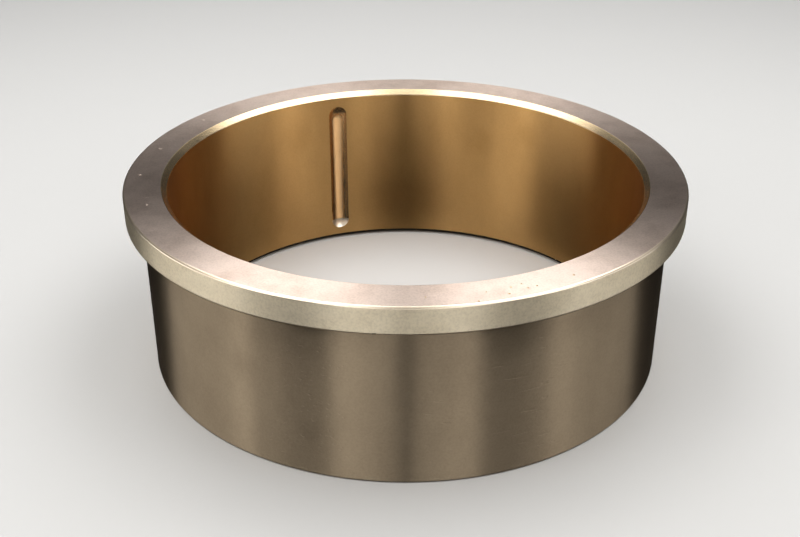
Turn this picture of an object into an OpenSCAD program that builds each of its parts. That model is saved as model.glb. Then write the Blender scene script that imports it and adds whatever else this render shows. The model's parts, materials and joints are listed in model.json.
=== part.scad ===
// Flanged sleeve bearing, turned from one bronze blank.
// It stands on the sleeve's foot, with the bore's axis on +Z and the oil groove on the +Y side.

/* [Bore] */
// Diameter of the running bore
bore_d = 180; // [100:0.5:320]
// Chamfer at the bore's mouth, in the flange's top face
mouth_chamfer = 2; // [0.5:0.1:5]
// Chamfer at the bore's foot
foot_chamfer = 2; // [0.5:0.1:5]

/* [Sleeve] */
// Wall of the sleeve, from the bore out to the seat that is pressed into a housing
wall_t = 10; // [6:0.5:24]
// Overall length, from the sleeve's foot to the flange's top face
overall_h = 71.5; // [40:0.5:160]
// Edge break round the outside of the sleeve's foot
foot_break = 0.6; // [0.2:0.1:3]

/* [Flange] */
// How far the flange stands out from the sleeve
flange_reach = 6; // [3:0.5:30]
// Thickness of the flange
flange_t = 10; // [4:0.5:24]
// Edge break round the flange's upper outside corner
flange_top_break = 0.6; // [0.2:0.1:2]
// Edge break round the flange's lower outside corner
flange_low_break = 0.4; // [0.2:0.1:2]

/* [Oil groove] */
// Diameter of the round nose that cuts the groove
groove_nose_d = 12.5; // [6:0.5:16]
// Depth of the groove below the bore's wall
groove_depth = 1.4; // [0.5:0.1:3.8]
// Plain land between the groove's upper end and the flange's top face
groove_land_top = 6; // [4:0.5:20]
// Plain land between the groove's lower end and the sleeve's foot
groove_land_foot = 5.5; // [4:0.5:20]

/* [Hidden] */

$fn = 240;
bronze = [0.72, 0.56, 0.38];

bore_r = bore_d / 2;
sleeve_r = bore_r + wall_t;
flange_r = sleeve_r + flange_reach;
flange_z = overall_h - flange_t;

// The nose's centre line lies this far from the bore's axis.
groove_nose_r = groove_nose_d / 2;
groove_centre = bore_r + groove_depth - groove_nose_r;
// Half the groove's width where it opens into the bore's wall, which is also the reach of each ball end.
groove_mouth_r = sqrt(pow(groove_nose_r, 2) - pow(groove_nose_r - groove_depth, 2));
groove_low_z = groove_land_foot + groove_mouth_r;
groove_run = overall_h - groove_land_top - groove_mouth_r - groove_low_z;

// Half section of the turned blank, at its true distance from the bore's axis.
module sleeve_section() {
    polygon([
        [bore_r + foot_chamfer, 0],
        [sleeve_r - foot_break, 0],
        [sleeve_r, foot_break],
        [sleeve_r, flange_z],
        [flange_r - flange_low_break, flange_z],
        [flange_r, flange_z + flange_low_break],
        [flange_r, overall_h - flange_top_break],
        [flange_r - flange_top_break, overall_h],
        [bore_r + mouth_chamfer, overall_h],
        [bore_r, overall_h - mouth_chamfer],
        [bore_r, foot_chamfer]
    ]);
}

// The path of the round nose: a straight run with a ball at each end.
module groove_cut() {
    translate([0, groove_centre, groove_low_z]) {
        cylinder(r = groove_nose_r, h = groove_run);
        sphere(r = groove_nose_r);
        translate([0, 0, groove_run])
            sphere(r = groove_nose_r);
    }
}

module flanged_sleeve() {
    color(bronze)
        difference() {
            rotate_extrude()
                sleeve_section();
            groove_cut();
        }
}

flanged_sleeve();
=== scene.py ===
import json
import math
import bmesh
import bpy
from mathutils import Matrix, Vector


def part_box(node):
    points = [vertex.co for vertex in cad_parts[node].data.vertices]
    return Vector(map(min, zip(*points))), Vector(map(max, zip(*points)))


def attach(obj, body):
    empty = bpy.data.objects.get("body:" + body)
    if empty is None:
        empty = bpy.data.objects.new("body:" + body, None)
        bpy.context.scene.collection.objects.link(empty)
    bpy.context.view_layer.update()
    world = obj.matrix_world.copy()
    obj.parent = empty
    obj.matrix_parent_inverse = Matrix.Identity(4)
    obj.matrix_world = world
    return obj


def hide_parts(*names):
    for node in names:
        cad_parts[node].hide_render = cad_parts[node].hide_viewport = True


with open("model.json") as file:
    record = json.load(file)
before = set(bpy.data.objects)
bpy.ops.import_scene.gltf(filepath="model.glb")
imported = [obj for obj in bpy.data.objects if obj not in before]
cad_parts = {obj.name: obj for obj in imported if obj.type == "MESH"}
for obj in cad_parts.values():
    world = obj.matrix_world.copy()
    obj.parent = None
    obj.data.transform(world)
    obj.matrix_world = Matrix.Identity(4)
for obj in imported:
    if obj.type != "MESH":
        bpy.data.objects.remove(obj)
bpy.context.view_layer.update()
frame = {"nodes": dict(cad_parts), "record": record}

mm = 0.001
weldGap = 0.001 * mm    # points closer than this are one point
mounts = {mount["name"]: mount for mount in frame["record"]["mounts"]}
print("frame loaded:", sorted(frame["nodes"]))


# sRGB hex to the linear values that shaders take
def hexToLinear(code):
    values = [int(code[i:i + 2], 16) / 255 for i in (1, 3, 5)]
    return [v / 12.92 if v <= 0.04045 else ((v + 0.055) / 1.055) ** 2.4 for v in values] + [1.0]


# a place on the part, from its angle round the bore's axis
def aroundAxis(angle, radius, z):
    turn = math.radians(angle)
    return Vector((radius * math.cos(turn), radius * math.sin(turn), z))


# adds one node with its settings, and links what feeds its inputs, where in0 is the first of them
def addNode(tree, kind, settings=None, **links):
    node = tree.nodes.new(kind)
    for key, value in (settings or {}).items():
        if isinstance(key, str) and hasattr(node, key):
            setattr(node, key, value)
        else:
            node.inputs[key].default_value = value
    for key, source in links.items():
        slot = int(key[2:]) if key.startswith("in") else key
        tree.links.new(source, node.inputs[slot])
    return node


# Finish of each surface: tin bronze as the tool left it, with light wear. Each finish's colour is also set to
# how bright its zone is lit, so the finishes are lit and shaded copies of one bronze, and their colours are
# partly painted light and shade.
# Lengths give the size of what is seen: feed marks, grain and patches of tarnish.
# Real feed marks and grain are finer, and are drawn as coarse as they need to show.
bronzeFinishAndShading = {
    # faced with a fine feed, whose rings fan the light into bright and dark wedges
    "facedFlange": {
        "colour": "#E6D2C4", "tarnish": "#AA9485", "rough": 0.35, "stretch": 0.9,
        "feed": 1.2 * mm, "feedDepth": 0.05, "grain": 0.7 * mm, "grainDepth": 0.03, "grainShare": 0.25,
        "patch": 13 * mm, "patchTall": 1.0, "patchShare": 0.5, "scratch": 0.2,
    },
    # turned, then dulled with emery: a grainy band that catches light from overhead; its near-white colour is
    # painted light, far paler than the sleeve's bronze
    "turnedRim": {
        "colour": "#FFF0D2", "tarnish": "#CCBC9E", "rough": 0.43, "stretch": 0.85,
        "feed": 1.4 * mm, "feedDepth": 0.03, "grain": 0.8 * mm, "grainDepth": 0.04, "grainShare": 0.3,
        "patch": 12 * mm, "patchTall": 1.5, "patchShare": 0.4, "scratch": 0.1,
    },
    # turned fine and handled since: a brown-grey satin with tall soft bands
    "turnedSleeve": {
        "colour": "#AD9A80", "tarnish": "#84745F", "rough": 0.38, "stretch": 1.0,
        "feed": 1.2 * mm, "feedDepth": 0.03, "grain": 0.8 * mm, "grainDepth": 0.02, "grainShare": 0.2,
        "patch": 22 * mm, "patchTall": 0.7, "patchShare": 0.45, "scratch": 0.35,
        # handling stains: angle, radius, height and reach
        "stains": [
            (-128, 100 * mm, 18 * mm, 7 * mm),
            (-142, 100 * mm, 36 * mm, 9 * mm),
            (-174, 100 * mm, 8 * mm, 5 * mm),
        ],
    },
    # bored smooth: golden where the light bounces from wall to wall
    "boredWall": {
        "colour": "#CCA167", "tarnish": "#9A743E", "rough": 0.37, "stretch": 1.0,
        "feed": 1.2 * mm, "feedDepth": 0.02, "grain": 0.8 * mm, "grainDepth": 0.01, "grainShare": 0.1,
        "patch": 20 * mm, "patchTall": 0.5, "patchShare": 0.3, "scratch": 0.0,
        # darker spots near the top of the bore, beside the groove: angle, radius, height and reach
        "stains": [
            (103, 90 * mm, 55 * mm, 12 * mm),
            (33, 90 * mm, 57 * mm, 8 * mm),
            (48, 90 * mm, 50 * mm, 10 * mm),
        ],
    },
    # milled with a round nose, which rubs at its tip and cuts clean at its sides: a bright stripe, dark flanks
    "milledGroove": {
        "colour": "#FFD49C", "tarnish": "#E4B478", "rough": 0.6, "stretch": 0.85,
        "feed": 1.0 * mm, "feedDepth": 0.04, "grain": 0.6 * mm, "grainDepth": 0.02, "grainShare": 0.1,
        "patch": 8 * mm, "patchTall": 1.0, "patchShare": 0.2, "scratch": 0.0,
        # the rubbed stripe: its half width, the height it reaches, and how much smoother the metal is beyond it
        "tipHalf": 1.7 * mm, "tipTop": 58.5 * mm, "tipFade": 0.35,
    },
    # the groove's lower end, where the cutter dwelt: smoother, and with a near-white colour that is painted
    # highlight, so the glint there shows white
    "plungedEnd": {
        "colour": "#FFF6E6", "tarnish": "#F6DDB4", "rough": 0.38, "stretch": 0.55,
        "feed": 1.0 * mm, "feedDepth": 0.01, "grain": 0.6 * mm, "grainDepth": 0.01, "grainShare": 0.1,
        "patch": 8 * mm, "patchTall": 1.0, "patchShare": 0.2, "scratch": 0.0,
    },
    # the bore's chamfers, cut last and left bright: a white band at the back, dark at the sides
    "turnedChamfer": {
        "colour": "#DBC39D", "tarnish": "#B2966C", "rough": 0.25, "stretch": 0.4,
        "feed": 0.8 * mm, "feedDepth": 0.02, "grain": 0.6 * mm, "grainDepth": 0.01, "grainShare": 0.15,
        "patch": 10 * mm, "patchTall": 1.0, "patchShare": 0.2, "scratch": 0.0,
    },
    # outside corners broken with a file, and the bare metal in pits: thin white lines and specks
    "filedEdge": {
        "colour": "#EBDAC2", "tarnish": "#C0AB8C", "rough": 0.3, "stretch": 0.4,
        "feed": 0.8 * mm, "feedDepth": 0.02, "grain": 0.6 * mm, "grainDepth": 0.01, "grainShare": 0.15,
        "patch": 10 * mm, "patchTall": 1.0, "patchShare": 0.2, "scratch": 0.0,
    },
}
finishNames = list(bronzeFinishAndShading)

# how tarnish, dark spots and scratches spread, alike in every finish
bronzeWear = {
    "bareBelow": 0.4,       # noise under this is bare metal
    "dullAbove": 0.7,       # noise over this is fully tarnished
    "stainCore": 0.2,       # share of a spot's reach that is full
    "stainShare": 0.35,
    "satinSwing": 0.06,     # how far the patches move the roughness, up and down
    "scratchLong": 14 * mm,
    "scratchWide": 0.9 * mm,
    "scratchSlant": (0.6, 0.7, 0.4),
    "scratchFrom": 0.72,    # only the highest threads of the noise show
    "scratchFull": 0.78,
    "scratchBump": 0.3,
    "scratchDepth": 0.3 * mm,
    "tipCore": 0.4,         # shares of the stripe's half width where the roughness starts to fall, and ends
    "tipEnd": 1.6,
}


def bronze(name, f, w):
    material = bpy.data.materials.new(name)
    material.use_nodes = True
    tree = material.node_tree
    tree.nodes.clear()
    place = addNode(tree, "ShaderNodeTexCoord").outputs["Object"]
    flat = addNode(tree, "ShaderNodeVectorMath", {"operation": "MULTIPLY", 1: (1, 1, 0)}, in0=place)
    radius = addNode(tree, "ShaderNodeVectorMath", {"operation": "LENGTH"}, in0=flat.outputs["Vector"])
    axes = addNode(tree, "ShaderNodeSeparateXYZ", in0=place)

    # feed marks run round the axis: radius plus height grows along every turned face
    along = addNode(tree, "ShaderNodeMath", {"operation": "ADD"},
                    in0=radius.outputs["Value"], in1=axes.outputs["Z"])
    marks = addNode(tree, "ShaderNodeTexNoise",
                    {"noise_dimensions": "1D", "Scale": 1 / f["feed"], "Detail": 4.0, "Roughness": 0.65},
                    W=along.outputs["Value"])
    grain = addNode(tree, "ShaderNodeTexNoise", {"Scale": 1 / f["grain"], "Detail": 2.0}, Vector=place)
    tall = addNode(tree, "ShaderNodeVectorMath", {"operation": "MULTIPLY", 1: (1, 1, f["patchTall"])},
                   in0=place)
    patches = addNode(tree, "ShaderNodeTexNoise",
                      {"Scale": 1 / f["patch"], "Detail": 5.0, "Roughness": 0.55},
                      Vector=tall.outputs["Vector"])

    # tarnish gathers in patches and in the grain, and darkens round the listed spots: where the sleeve was
    # handled, and near the top of the bore
    dull = addNode(tree, "ShaderNodeMapRange",
                   {"From Min": w["bareBelow"], "From Max": w["dullAbove"], "To Max": f["patchShare"]},
                   Value=patches.outputs["Fac"])
    fleck = addNode(tree, "ShaderNodeMapRange",
                    {"From Min": w["bareBelow"], "From Max": w["dullAbove"], "To Max": f["grainShare"]},
                    Value=grain.outputs["Fac"])
    share = addNode(tree, "ShaderNodeMath", {"operation": "ADD"},
                    in0=dull.outputs["Result"], in1=fleck.outputs["Result"])
    for angle, distance, z, reach in f.get("stains", []):
        away = addNode(tree, "ShaderNodeVectorMath",
                       {"operation": "DISTANCE", 1: aroundAxis(angle, distance, z)}, in0=place)
        spot = addNode(tree, "ShaderNodeMapRange",
                       {"interpolation_type": "SMOOTHSTEP", "From Min": reach,
                        "From Max": w["stainCore"] * reach, "To Max": w["stainShare"]},
                       Value=away.outputs["Value"])
        share = addNode(tree, "ShaderNodeMath", {"operation": "MULTIPLY_ADD"},
                        in0=spot.outputs["Result"], in1=patches.outputs["Fac"], in2=share.outputs["Value"])
    colour = addNode(tree, "ShaderNodeMix",
                     {"data_type": "RGBA", "A": hexToLinear(f["colour"]), "B": hexToLinear(f["tarnish"])},
                     Factor=share.outputs["Value"])
    satin = addNode(tree, "ShaderNodeMapRange",
                    {"To Min": f["rough"] - w["satinSwing"], "To Max": f["rough"] + w["satinSwing"]},
                    Value=patches.outputs["Fac"])

    # the cutter's tip leaves the middle of the groove rough, and the roughness falls away to its sides and top
    if "tipHalf" in f:
        past = addNode(tree, "ShaderNodeMath", {"operation": "SUBTRACT", 1: f["tipTop"]}, in0=axes.outputs["Z"])
        over = addNode(tree, "ShaderNodeMath", {"operation": "MAXIMUM", 1: 0.0}, in0=past.outputs["Value"])
        aside = addNode(tree, "ShaderNodeCombineXYZ", in0=axes.outputs["X"], in1=over.outputs["Value"])
        off = addNode(tree, "ShaderNodeVectorMath", {"operation": "LENGTH"}, in0=aside.outputs["Vector"])
        clean = addNode(tree, "ShaderNodeMapRange",
                        {"interpolation_type": "SMOOTHSTEP", "From Min": w["tipCore"] * f["tipHalf"],
                         "From Max": w["tipEnd"] * f["tipHalf"], "To Max": f["tipFade"]},
                        Value=off.outputs["Value"])
        satin = addNode(tree, "ShaderNodeMath", {"operation": "SUBTRACT"},
                        in0=satin.outputs["Result"], in1=clean.outputs["Result"])

    # long thin noise at a slant, cut off high, leaves a few handling scratches
    slant = addNode(tree, "ShaderNodeMapping",
                    {"Rotation": w["scratchSlant"],
                     "Scale": (1 / w["scratchLong"], 1 / w["scratchWide"], 1 / w["scratchWide"])},
                    Vector=place)
    threads = addNode(tree, "ShaderNodeTexNoise", {"Scale": 1.0, "Detail": 0.0}, Vector=slant.outputs["Vector"])
    scratches = addNode(tree, "ShaderNodeMapRange",
                        {"From Min": w["scratchFrom"], "From Max": w["scratchFull"], "To Max": f["scratch"]},
                        Value=threads.outputs["Fac"])

    rough = addNode(tree, "ShaderNodeBump", {"Strength": f["grainDepth"], "Distance": f["grain"]},
                    Height=grain.outputs["Fac"])
    scored = addNode(tree, "ShaderNodeBump",
                     {"Strength": w["scratchBump"], "Distance": w["scratchDepth"], "invert": True},
                     Height=scratches.outputs["Result"], Normal=rough.outputs["Normal"])
    turned = addNode(tree, "ShaderNodeBump", {"Strength": f["feedDepth"], "Distance": f["feed"]},
                     Height=marks.outputs["Fac"], Normal=scored.outputs["Normal"])

    # the marks run round the axis, so a highlight stretches across them
    around = addNode(tree, "ShaderNodeTangent", {"direction_type": "RADIAL", "axis": "Z"})
    shader = addNode(tree, "ShaderNodeBsdfPrincipled",
                     {"Metallic": 1.0, "Anisotropic": f["stretch"], "Anisotropic Rotation": 0.25},
                     Roughness=satin.outputs[0], Normal=turned.outputs["Normal"],
                     Tangent=around.outputs["Tangent"])
    tree.links.new(colour.outputs["Result"], shader.inputs["Base Color"])
    addNode(tree, "ShaderNodeOutputMaterial", Surface=shader.outputs["BSDF"])
    return material


# Sleeve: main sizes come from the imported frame, and chamfers and edge breaks repeat the part's own
lowCorner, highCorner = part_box("flanged_sleeve")
sleeveSize = {
    "boreR": mounts["bore"]["dims"]["r_mm"] * mm,
    "sleeveR": mounts["sleeve_seat"]["dims"]["r_mm"] * mm,
    "flangeR": min(-lowCorner.x, highCorner.x, -lowCorner.y, highCorner.y),
    "height": highCorner.z,
    "flangeZ": mounts["flange_seat"]["pos_m"][2],
    "boreChamfer": 2 * mm,
    "flangeTopBreak": 0.6 * mm,
    "flangeLowBreak": 0.4 * mm,
    "footBreak": 0.6 * mm,
    "edgeRound": 0.22 * mm,    # a turned edge is never knife sharp
    "roundSteps": 3,
    "cornerAngle": 20,         # outside corners over this many degrees are rounded
    "creaseAngle": 32,         # edges over this many degrees stay sharp in the shading
    "turnSteps": 384,
    "flatFace": 0.95,          # a face's normal rises at least this much on a flat face
    "slopedFace": 0.1,         # and this much on a chamfer, edge break or round
}


def turnSection(s):
    return [
        (s["boreR"] + s["boreChamfer"], 0),
        (s["sleeveR"] - s["footBreak"], 0),
        (s["sleeveR"], s["footBreak"]),
        (s["sleeveR"], s["flangeZ"]),
        (s["flangeR"] - s["flangeLowBreak"], s["flangeZ"]),
        (s["flangeR"], s["flangeZ"] + s["flangeLowBreak"]),
        (s["flangeR"], s["height"] - s["flangeTopBreak"]),
        (s["flangeR"] - s["flangeTopBreak"], s["height"]),
        (s["boreR"] + s["boreChamfer"], s["height"]),
        (s["boreR"], s["height"] - s["boreChamfer"]),
        (s["boreR"], s["boreChamfer"]),
    ]


# which finish a turned face has, from where it lies and faces
def finishOf(face, s):
    centre = face.calc_center_median()
    rise = abs(face.normal.z)
    if rise > s["flatFace"]:
        return "facedFlange"
    inward = face.normal.x * centre.x + face.normal.y * centre.y < 0
    if rise > s["slopedFace"]:
        return "turnedChamfer" if inward else "filedEdge"
    if inward:
        return "boredWall"
    return "turnedRim" if centre.z > s["flangeZ"] else "turnedSleeve"


def turnSleeve(s):
    bm = bmesh.new()
    ring = [bm.verts.new((r, 0, z)) for r, z in turnSection(s)]
    edges = [bm.edges.new(pair) for pair in zip(ring, ring[1:] + ring[:1])]
    bmesh.ops.spin(bm, geom=ring + edges, cent=(0, 0, 0), axis=(0, 0, 1), angle=math.tau,
                   steps=s["turnSteps"], use_merge=True)
    bmesh.ops.remove_doubles(bm, verts=bm.verts, dist=weldGap)
    bmesh.ops.recalc_face_normals(bm, faces=bm.faces)
    corners = [e for e in bm.edges if e.calc_face_angle_signed(0) > math.radians(s["cornerAngle"])]
    bmesh.ops.bevel(bm, geom=corners, offset=s["edgeRound"], offset_type="OFFSET", affect="EDGES",
                    segments=s["roundSteps"], profile=0.5, material=-1, clamp_overlap=True)
    bm.normal_update()
    for face in bm.faces:
        face.material_index = finishNames.index(finishOf(face, s))
        face.smooth = True
    return bm


def meshObject(name, bm):
    mesh = bpy.data.meshes.new(name)
    bm.to_mesh(mesh)
    bm.free()
    obj = bpy.data.objects.new(name, mesh)
    bpy.context.scene.collection.objects.link(obj)
    return obj


sleeve = meshObject("bronze_sleeve", turnSleeve(sleeveSize))
for finish in finishNames:
    sleeve.data.materials.append(bronze("bronze_" + finish, bronzeFinishAndShading[finish], bronzeWear))
print("sleeve turned:", len(sleeve.data.polygons), "faces")

# Oil groove, on the +Y side of the bore, with the part's own sizes
grooveSize = {
    "noseR": 6.25 * mm,
    "depth": 1.4 * mm,
    "landTop": 6 * mm,
    "landFoot": 5.5 * mm,
    "plungeOver": 0.3 * mm,    # how far above the lower ball's centre its own finish starts
    "lipRound": 0.2 * mm,
    "lipSteps": 2,
    "arcSteps": 16,
    "spinSteps": 96,
}


# the cutter's path: a half outline of a round-ended bar, spun about the bar's own axis
def grooveCutter(g, s):
    mouthR = math.sqrt(g["noseR"] ** 2 - (g["noseR"] - g["depth"]) ** 2)
    lowZ = g["landFoot"] + mouthR
    highZ = s["height"] - g["landTop"] - mouthR
    centreY = s["boreR"] + g["depth"] - g["noseR"]
    bm = bmesh.new()
    outline = []
    for end, start in ((lowZ, -90), (highZ, 0)):
        for i in range(g["arcSteps"] + 1):
            angle = math.radians(start + 90 * i / g["arcSteps"])
            outline.append((g["noseR"] * math.cos(angle), end + g["noseR"] * math.sin(angle)))
    points = [bm.verts.new((r, centreY, z)) for r, z in outline]
    edges = [bm.edges.new(pair) for pair in zip(points, points[1:])]
    bmesh.ops.spin(bm, geom=points + edges, cent=(0, centreY, 0), axis=(0, 0, 1), angle=math.tau,
                   steps=g["spinSteps"], use_merge=True)
    bmesh.ops.remove_doubles(bm, verts=bm.verts, dist=weldGap)
    bmesh.ops.recalc_face_normals(bm, faces=bm.faces)
    for face in bm.faces:
        onRun = face.calc_center_median().z > lowZ + g["plungeOver"]
        face.material_index = finishNames.index("milledGroove" if onRun else "plungedEnd")
    return bm


# Wear in the flange's top face: small pits at the front right and dents at the left,
# each as an angle, and a radius and a width in millimetres
flangeWear = {
    "pits": [
        (-90.4, 98.7, 0.8), (-91.6, 102.4, 0.9), (-88.1, 98.0, 0.7),
        (-87.7, 101.1, 0.7), (-85.8, 100.8, 0.7), (-97.5, 104.4, 0.8),
        (-95.3, 99.4, 0.6), (-77.7, 100.5, 0.8), (-106.3, 99.7, 0.6),
    ],
    "dents": [(128.8, 100.2, 2.4), (148.7, 99.6, 2.2), (163.7, 100.5, 1.8), (179.9, 98.1, 1.4)],
    "pitRise": -0.25,    # height of a ball's centre above the face, as a share of the pit's width
    "dentRise": 1.1,     # a dent is shallow, so its ball is large and stands clear of the face
    "pitFinish": "filedEdge",
    "dentFinish": "facedFlange",
    "ballSteps": 3,
}


def addWear(bm, w, s):
    for kind in ("pit", "dent"):
        rise = w[kind + "Rise"]
        finish = finishNames.index(w[kind + "Finish"])
        for angle, radius, width in w[kind + "s"]:
            ball = width * math.hypot(0.5, rise)
            spot = aroundAxis(angle, radius * mm, s["height"] + rise * width * mm)
            made = bmesh.ops.create_icosphere(bm, subdivisions=w["ballSteps"], radius=ball * mm,
                                              matrix=Matrix.Translation(spot))
            for face in {f for v in made["verts"] for f in v.link_faces}:
                face.material_index = finish
    for face in bm.faces:
        face.smooth = True
    return bm


cutter = meshObject("groove_cutter", addWear(grooveCutter(grooveSize, sleeveSize), flangeWear, sleeveSize))
for material in sleeve.data.materials:
    cutter.data.materials.append(material)
cut = sleeve.modifiers.new("grooveCut", "BOOLEAN")
cut.operation = "DIFFERENCE"
cut.solver = "EXACT"
cut.object = cutter
bpy.context.view_layer.update()
cutMesh = bpy.data.meshes.new_from_object(sleeve.evaluated_get(bpy.context.evaluated_depsgraph_get()))
sleeve.modifiers.clear()
sleeve.data = cutMesh
bpy.data.objects.remove(cutter)

# break the groove's lip and mark every true edge as sharp
bm = bmesh.new()
bm.from_mesh(sleeve.data)
grooveCuts = [finishNames.index(name) for name in ("milledGroove", "plungedEnd")]
lip = [e for e in bm.edges if [f.material_index in grooveCuts for f in e.link_faces].count(True) == 1]
bmesh.ops.bevel(bm, geom=lip, offset=grooveSize["lipRound"], offset_type="OFFSET", affect="EDGES",
                segments=grooveSize["lipSteps"], profile=0.5, material=-1, clamp_overlap=True)
bmesh.ops.remove_doubles(bm, verts=bm.verts, dist=weldGap)
for edge in bm.edges:
    edge.smooth = edge.calc_face_angle(0) < math.radians(sleeveSize["creaseAngle"])
bm.to_mesh(sleeve.data)
bm.free()
# flat faces keep their own normals, so only the edge rounds shade across
sleeve.modifiers.new("flatFaces", "WEIGHTED_NORMAL").keep_sharp = True
print("groove and wear cut:", len(sleeve.data.polygons), "faces")

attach(sleeve, "root")
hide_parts("flanged_sleeve")

# Camera: the photograph's view, fitted to the edges of the part in its 800 by 537 frame
photoView = {
    "azimuth": -19.6,         # the groove lies this far round from the far side
    "elevation": 28.06,
    "distance": 460.3 * mm,
    "aimRight": -2.05 * mm,   # where the view's middle meets the part, sideways and up
    "aimUp": 28.34 * mm,
    "focal": 1150.4,          # in pixels of the 800 wide frame
    "frameWidth": 800,
    "sensor": 36.0,
    "clipStart": 10 * mm,
}


def photoCamera(v):
    turn = Matrix.Rotation(math.radians(v["azimuth"]), 3, "Z")
    tilt = math.radians(v["elevation"])
    aim = turn @ Vector((v["aimRight"], 0, v["aimUp"]))
    forward = turn @ Vector((0, math.cos(tilt), -math.sin(tilt)))
    data = bpy.data.cameras.new("photo_camera")
    data.sensor_width = v["sensor"]
    data.lens = v["focal"] / v["frameWidth"] * v["sensor"]
    data.clip_start = v["clipStart"]
    camera = bpy.data.objects.new("photo_camera", data)
    camera.location = aim - forward * v["distance"]
    camera.rotation_euler = forward.to_track_quat("-Z", "Y").to_euler()
    bpy.context.scene.collection.objects.link(camera)
    bpy.context.scene.camera = camera


photoCamera(photoView)
print("camera set:", photoView["elevation"], "degrees above the floor")

# Stage: a plain pale floor, kept out of the metal's mirror image
floorSize = {"radius": 1.4, "sides": 96, "colour": "#B0AFAD", "rough": 0.9}


def paleFloor(f):
    bm = bmesh.new()
    bmesh.ops.create_circle(bm, cap_ends=True, segments=f["sides"], radius=f["radius"])
    floor = meshObject("stage_floor", bm)
    material = bpy.data.materials.new("pale_floor")
    material.use_nodes = True
    shader = material.node_tree.nodes["Principled BSDF"]
    shader.inputs["Base Color"].default_value = hexToLinear(f["colour"])
    shader.inputs["Roughness"].default_value = f["rough"]
    floor.data.materials.append(material)
    floor.visible_glossy = False
    floor.visible_shadow = False


paleFloor(floorSize)

# Lights: softboxes set by azimuth from the camera's side and elevation, in degrees, and by sizes in metres.
# A pair stands left and right of the camera, and its two radiances are in that order.
softboxes = {
    "top": {
        "azimuth": 0, "elevation": 76, "distance": 1.4,
        "width": 0.7, "height": 0.5, "radiance": [1.6],
    },
    "back": {
        "azimuth": 160, "elevation": 38, "distance": 2.0,
        "width": 1.0, "height": 0.6, "radiance": [0.7, 0.5],
    },
    "sidePanel": {
        "azimuth": 110, "elevation": 45, "distance": 1.8,
        "width": 0.8, "height": 0.5, "radiance": [0.8, 2.0],
    },
    "overhead": {
        "azimuth": 105, "elevation": 67, "distance": 0.8,
        "width": 0.86, "height": 0.46, "radiance": [4.5, 4.6],
    },
    "midPanel": {
        "azimuth": 61, "elevation": 26, "distance": 2.0,
        "width": 0.8, "height": 0.7, "radiance": [3.9, 2.5],
    },
    "sideStrip": {
        "azimuth": 83, "elevation": 6, "distance": 2.2,
        "width": 1.9, "height": 0.8, "radiance": [3.5, 2.4],
        "turn": -2.5,    # the pair as a whole stands this far round to the left
    },
    "frontPanel": {
        "azimuth": 34, "elevation": 40, "distance": 2.0,
        "width": 0.9, "height": 1.2, "radiance": [2.15, 1.55],
    },
    "frontStrip": {
        "azimuth": 15.5, "elevation": 6, "distance": 2.2,
        "width": 1.0, "height": 0.8, "radiance": [3.4, 3.2],
    },
}
cameraSide = photoView["azimuth"] - 90    # the camera stands on the -Y side, turned by its azimuth


def softbox(name, b, azimuth, radiance):
    data = bpy.data.lights.new(name, "AREA")
    data.shape = "RECTANGLE"
    data.size = b["width"]
    data.size_y = b["height"]
    data.energy = radiance * math.pi * b["width"] * b["height"]   # watts that give the panel this radiance
    light = bpy.data.objects.new(name, data)
    around = math.radians(cameraSide + azimuth)
    lift = math.radians(b["elevation"])
    out = Vector((math.cos(around) * math.cos(lift), math.sin(around) * math.cos(lift), math.sin(lift)))
    light.location = out * b["distance"]
    light.rotation_euler = out.to_track_quat("Z", "Y").to_euler()
    light.visible_camera = False
    bpy.context.scene.collection.objects.link(light)


for name, box in softboxes.items():
    for side, sign, radiance in zip(("Left", "Right"), (-1, 1), box["radiance"]):
        softbox(name + side, box, sign * box["azimuth"] + box.get("turn", 0), radiance)

# pale to the camera, to the metal a dim room over a dark bench
worldTone = {
    "seen": "#DEDFE0",
    "room": "#464646",
    "bench": "#1E1E1F",
    "roomFrom": 0.35,    # upward part of a direction, over which it sees the room alone
}
world = bpy.data.worlds.new("studio")
bpy.context.scene.world = world
world.use_nodes = True
tree = world.node_tree
ray = addNode(tree, "ShaderNodeLightPath")
direction = addNode(tree, "ShaderNodeSeparateXYZ", in0=addNode(tree, "ShaderNodeTexCoord").outputs["Generated"])
above = addNode(tree, "ShaderNodeMapRange", {"From Min": 0.0, "From Max": worldTone["roomFrom"]},
                Value=direction.outputs["Z"])
dim = addNode(tree, "ShaderNodeMix",
              {"data_type": "RGBA", "A": hexToLinear(worldTone["bench"]), "B": hexToLinear(worldTone["room"])},
              Factor=above.outputs["Result"])
tone = addNode(tree, "ShaderNodeMix", {"data_type": "RGBA", "B": hexToLinear(worldTone["seen"])},
               Factor=ray.outputs["Is Camera Ray"], A=dim.outputs["Result"])
tree.links.new(tone.outputs["Result"], tree.nodes["Background"].inputs["Color"])
bpy.context.scene.view_settings.view_transform = "Standard"
print("stage lit:", sorted(softboxes))
